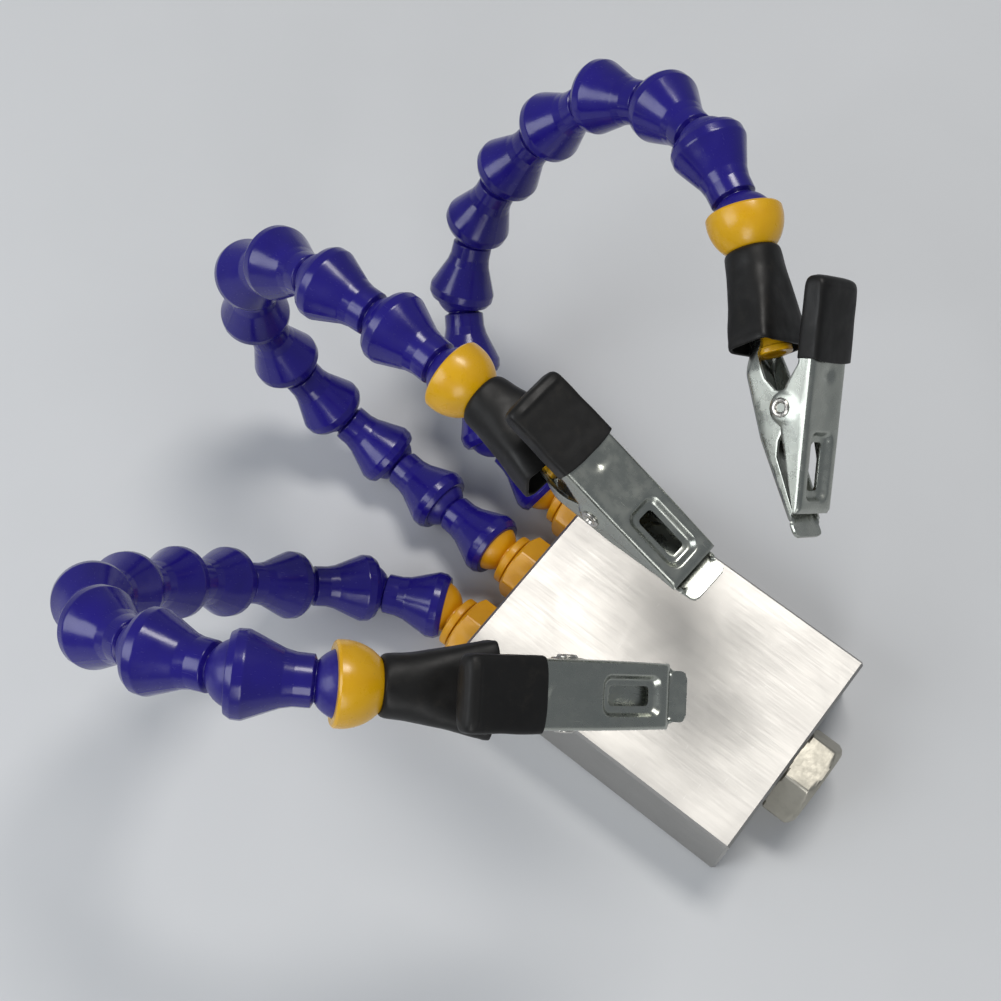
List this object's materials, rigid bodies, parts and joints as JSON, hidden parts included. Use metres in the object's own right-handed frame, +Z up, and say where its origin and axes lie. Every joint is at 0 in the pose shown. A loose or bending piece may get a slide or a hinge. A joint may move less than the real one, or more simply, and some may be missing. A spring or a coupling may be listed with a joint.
{
  "type": "helping hands clamp",
  "caption": "Bench holding tool: a weighted metal block with ball-jointed flexible arms, each ending in a sprung alligator clip with soft boots.",
  "frame": {"origin": "centre of the block's bottom face, on the surface it stands on", "axes": "+X along the block towards the hex bolt, +Y across the block from the left arm to the right arm, +Z up"},
  "size_m": [0.1636, 0.1604, 0.1098],
  "materials": {
    "block": "brushed",
    "bolt": "zinc plated",
    "fitting": "satin",
    "link": "gloss",
    "nozzle": "satin",
    "jaw": "nickel plated",
    "rivet": "nickel plated",
    "spring": "bright",
    "boot": "semi-matte"
  },
  "bodies": {
    "base": {"base_block": "block", "hex_bolt": "bolt", "left_base_fitting": "fitting", "middle_base_fitting": "fitting", "right_base_fitting": "fitting"},
    "left_link_01": {"left_link_01": "link"},
    "left_link_02": {"left_link_02": "link"},
    "left_link_03": {"left_link_03": "link"},
    "left_link_04": {"left_link_04": "link"},
    "left_link_05": {"left_link_05": "link"},
    "left_link_06": {"left_link_06": "link"},
    "left_link_07": {"left_link_07": "link"},
    "left_link_08": {"left_link_08": "link"},
    "left_link_09": {"left_link_09": "link"},
    "left_link_10": {"left_link_10": "link"},
    "left_clip": {"left_nozzle": "nozzle", "left_lower_jaw": "jaw", "left_jaw_pin": "rivet", "left_jaw_spring": "spring", "left_lower_boot": "boot"},
    "left_jaw": {"left_upper_jaw": "jaw", "left_upper_boot": "boot"},
    "middle_link_01": {"middle_link_01": "link"},
    "middle_link_02": {"middle_link_02": "link"},
    "middle_link_03": {"middle_link_03": "link"},
    "middle_link_04": {"middle_link_04": "link"},
    "middle_link_05": {"middle_link_05": "link"},
    "middle_link_06": {"middle_link_06": "link"},
    "middle_link_07": {"middle_link_07": "link"},
    "middle_link_08": {"middle_link_08": "link"},
    "middle_link_09": {"middle_link_09": "link"},
    "middle_link_10": {"middle_link_10": "link"},
    "middle_clip": {"middle_nozzle": "nozzle", "middle_lower_jaw": "jaw", "middle_jaw_pin": "rivet", "middle_jaw_spring": "spring", "middle_lower_boot": "boot"},
    "middle_jaw": {"middle_upper_jaw": "jaw", "middle_upper_boot": "boot"},
    "right_link_01": {"right_link_01": "link"},
    "right_link_02": {"right_link_02": "link"},
    "right_link_03": {"right_link_03": "link"},
    "right_link_04": {"right_link_04": "link"},
    "right_link_05": {"right_link_05": "link"},
    "right_link_06": {"right_link_06": "link"},
    "right_link_07": {"right_link_07": "link"},
    "right_link_08": {"right_link_08": "link"},
    "right_link_09": {"right_link_09": "link"},
    "right_link_10": {"right_link_10": "link"},
    "right_clip": {"right_nozzle": "nozzle", "right_lower_jaw": "jaw", "right_jaw_pin": "rivet", "right_jaw_spring": "spring", "right_lower_boot": "boot"},
    "right_jaw": {"right_upper_jaw": "jaw", "right_upper_boot": "boot"}
  },
  "joints": [
    {"name": "left_ball_01", "type": "hinge", "parent": "base", "child": "left_link_01", "pos_m": [-0.048, -0.0195, 0.01], "axis": [0, 0, 1], "range_deg": [-40.9, 4.8]},
    {"name": "left_ball_02", "type": "hinge", "parent": "left_link_01", "child": "left_link_02", "pos_m": [-0.06341, -0.02668, 0.01], "axis": [0.308, -0.6605, -0.6848], "range_deg": [-1.9, 36.1]},
    {"name": "left_ball_03", "type": "hinge", "parent": "left_link_02", "child": "left_link_03", "pos_m": [-0.0747, -0.03798, 0.01581], "axis": [-0.5732, 0.7468, 0.3372], "range_deg": [-48.4, 7.6]},
    {"name": "left_ball_04", "type": "hinge", "parent": "left_link_03", "child": "left_link_04", "pos_m": [-0.08217, -0.04865, 0.02674], "axis": [0.4607, -0.7717, -0.4385], "range_deg": [-9, 50]},
    {"name": "left_ball_05", "type": "hinge", "parent": "left_link_04", "child": "left_link_05", "pos_m": [-0.0847, -0.05807, 0.04067], "axis": [0.1424, 0.8077, 0.5721], "range_deg": [-35, 24]},
    {"name": "left_ball_06", "type": "hinge", "parent": "left_link_05", "child": "left_link_06", "pos_m": [-0.08555, -0.06778, 0.05459], "axis": [-0.4474, 0.7461, 0.4931], "range_deg": [-44, 15]},
    {"name": "left_ball_07", "type": "hinge", "parent": "left_link_06", "child": "left_link_07", "pos_m": [-0.08264, -0.07577, 0.06932], "axis": [0.2742, -0.8216, -0.4999], "range_deg": [-2, 57]},
    {"name": "left_ball_08", "type": "hinge", "parent": "left_link_07", "child": "left_link_08", "pos_m": [-0.07274, -0.08039, 0.08234], "axis": [-0.4727, 0.6534, 0.5912], "range_deg": [-56, 3]},
    {"name": "left_ball_09", "type": "hinge", "parent": "left_link_08", "child": "left_link_09", "pos_m": [-0.05886, -0.07917, 0.09209], "axis": [0.4186, -0.7573, -0.5012], "range_deg": [-5, 54]},
    {"name": "left_ball_10", "type": "hinge", "parent": "left_link_09", "child": "left_link_10", "pos_m": [-0.04343, -0.07356, 0.09649], "axis": [0.4193, -0.689, -0.5911], "range_deg": [-5, 54]},
    {"name": "left_ball_11", "type": "hinge", "parent": "left_link_10", "child": "left_clip", "pos_m": [-0.02956, -0.06384, 0.09501], "axis": [-0.4213, 0.6913, 0.587], "range_deg": [-39, 20]},
    {"name": "left_jaw_hinge", "type": "hinge", "parent": "left_clip", "child": "left_jaw", "pos_m": [-0.0017, -0.04076, 0.08896], "axis": [0.5516, -0.7575, -0.3492], "range_deg": [0, 15], "stiffness_Nm_per_rad": 0.1, "springref_deg": -22.92, "deforming": ["left_jaw_spring"]},
    {"name": "middle_ball_01", "type": "hinge", "parent": "base", "child": "middle_link_01", "pos_m": [-0.048, 0, 0.01], "axis": [0, 0.7085, 0.7058], "range_deg": [-1, 33]},
    {"name": "middle_ball_02", "type": "hinge", "parent": "middle_link_01", "child": "middle_link_02", "pos_m": [-0.06487, 0.00148, 0.00852], "axis": [-0.0872, -0.9962, 0], "range_deg": [-25, 2]},
    {"name": "middle_ball_03", "type": "hinge", "parent": "middle_link_02", "child": "middle_link_03", "pos_m": [-0.08181, 0.00296, 0.00852], "axis": [0.0817, 0.9336, 0.349], "range_deg": [-29, 3]},
    {"name": "middle_ball_04", "type": "hinge", "parent": "middle_link_03", "child": "middle_link_04", "pos_m": [-0.09715, 0.00161, 0.0157], "axis": [-0.0312, 0.9924, 0.1188], "range_deg": [-55, 4]},
    {"name": "middle_ball_05", "type": "hinge", "parent": "middle_link_04", "child": "middle_link_05", "pos_m": [-0.10792, -0.00028, 0.02873], "axis": [0.1077, -0.9926, -0.0557], "range_deg": [-9, 50]},
    {"name": "middle_ball_06", "type": "hinge", "parent": "middle_link_05", "child": "middle_link_06", "pos_m": [-0.11353, -0.00179, 0.0447], "axis": [0.1618, -0.9862, -0.036], "range_deg": [-5, 54]},
    {"name": "middle_ball_07", "type": "hinge", "parent": "middle_link_06", "child": "middle_link_07", "pos_m": [-0.1121, -0.00217, 0.06164], "axis": [-0.0367, 0.999, 0.0257], "range_deg": [-60, 0]},
    {"name": "middle_ball_08", "type": "hinge", "parent": "middle_link_07", "child": "middle_link_08", "pos_m": [-0.10235, -0.00217, 0.07556], "axis": [0.1449, 0.9842, -0.1015], "range_deg": [-55, 4]},
    {"name": "middle_ball_09", "type": "hinge", "parent": "middle_link_08", "child": "middle_link_09", "pos_m": [-0.08768, -0.00345, 0.08406], "axis": [0.0153, -0.9844, -0.175], "range_deg": [-4, 55]},
    {"name": "middle_ball_10", "type": "hinge", "parent": "middle_link_09", "child": "middle_link_10", "pos_m": [-0.07075, -0.00345, 0.08554], "axis": [-0.0872, 0.0038, 0.9962], "range_deg": [-11, 14]},
    {"name": "middle_ball_11", "type": "hinge", "parent": "middle_link_10", "child": "middle_clip", "pos_m": [-0.05388, -0.00493, 0.08702], "axis": [0.0486, 0.9276, 0.3705], "range_deg": [-35, 24]},
    {"name": "middle_jaw_hinge", "type": "hinge", "parent": "middle_clip", "child": "middle_jaw", "pos_m": [-0.01733, -0.00685, 0.08942], "axis": [-0.0523, -0.9986, 0], "range_deg": [0, 15], "stiffness_Nm_per_rad": 0.1, "springref_deg": -22.92, "deforming": ["middle_jaw_spring"]},
    {"name": "right_ball_01", "type": "hinge", "parent": "base", "child": "right_link_01", "pos_m": [-0.048, 0.0195, 0.01], "axis": [0, 0.951, -0.3093], "range_deg": [-23, 14]},
    {"name": "right_ball_02", "type": "hinge", "parent": "right_link_01", "child": "right_link_02", "pos_m": [-0.06436, 0.02093, 0.0144], "axis": [0.2252, -0.2875, 0.9309], "range_deg": [-5, 45]},
    {"name": "right_ball_03", "type": "hinge", "parent": "right_link_02", "child": "right_link_03", "pos_m": [-0.07819, 0.02892, 0.02021], "axis": [-0.0879, -0.6813, 0.7267], "range_deg": [-13, 46]},
    {"name": "right_ball_04", "type": "hinge", "parent": "right_link_03", "child": "right_link_04", "pos_m": [-0.0886, 0.03933, 0.02871], "axis": [-0.3627, -0.7796, 0.5106], "range_deg": [-2, 57]},
    {"name": "right_ball_05", "type": "hinge", "parent": "right_link_04", "child": "right_link_05", "pos_m": [-0.09234, 0.0496, 0.04174], "axis": [0.5486, 0.7259, -0.4149], "range_deg": [-57, 2]},
    {"name": "right_ball_06", "type": "hinge", "parent": "right_link_05", "child": "right_link_06", "pos_m": [-0.0893, 0.05611, 0.05714], "axis": [0.1872, 0.8911, -0.4135], "range_deg": [-42, 17]},
    {"name": "right_ball_07", "type": "hinge", "parent": "right_link_06", "child": "right_link_07", "pos_m": [-0.08279, 0.06157, 0.07187], "axis": [0.457, 0.7488, -0.48], "range_deg": [-41, 18]},
    {"name": "right_ball_08", "type": "hinge", "parent": "right_link_07", "child": "right_link_08", "pos_m": [-0.07363, 0.06491, 0.08579], "axis": [-0.2036, -0.9133, 0.3527], "range_deg": [-1, 58]},
    {"name": "right_ball_09", "type": "hinge", "parent": "right_link_08", "child": "right_link_09", "pos_m": [-0.05891, 0.06491, 0.09429], "axis": [-0.4753, -0.3103, 0.8233], "range_deg": [-5, 54]},
    {"name": "right_ball_10", "type": "hinge", "parent": "right_link_09", "child": "right_link_10", "pos_m": [-0.04443, 0.05816, 0.10011], "axis": [-0.4765, -0.8585, 0.1897], "range_deg": [-4, 55]},
    {"name": "right_ball_11", "type": "hinge", "parent": "right_link_10", "child": "right_clip", "pos_m": [-0.02976, 0.04969, 0.09863], "axis": [0.3087, 0.6553, -0.6895], "range_deg": [-42, 17]},
    {"name": "right_jaw_hinge", "type": "hinge", "parent": "right_clip", "child": "right_jaw", "pos_m": [-0.0013, 0.0279, 0.09087], "axis": [-0.345, -0.6806, 0.6463], "range_deg": [0, 15], "stiffness_Nm_per_rad": 0.1, "springref_deg": -22.92, "deforming": ["right_jaw_spring"]}
  ]
}
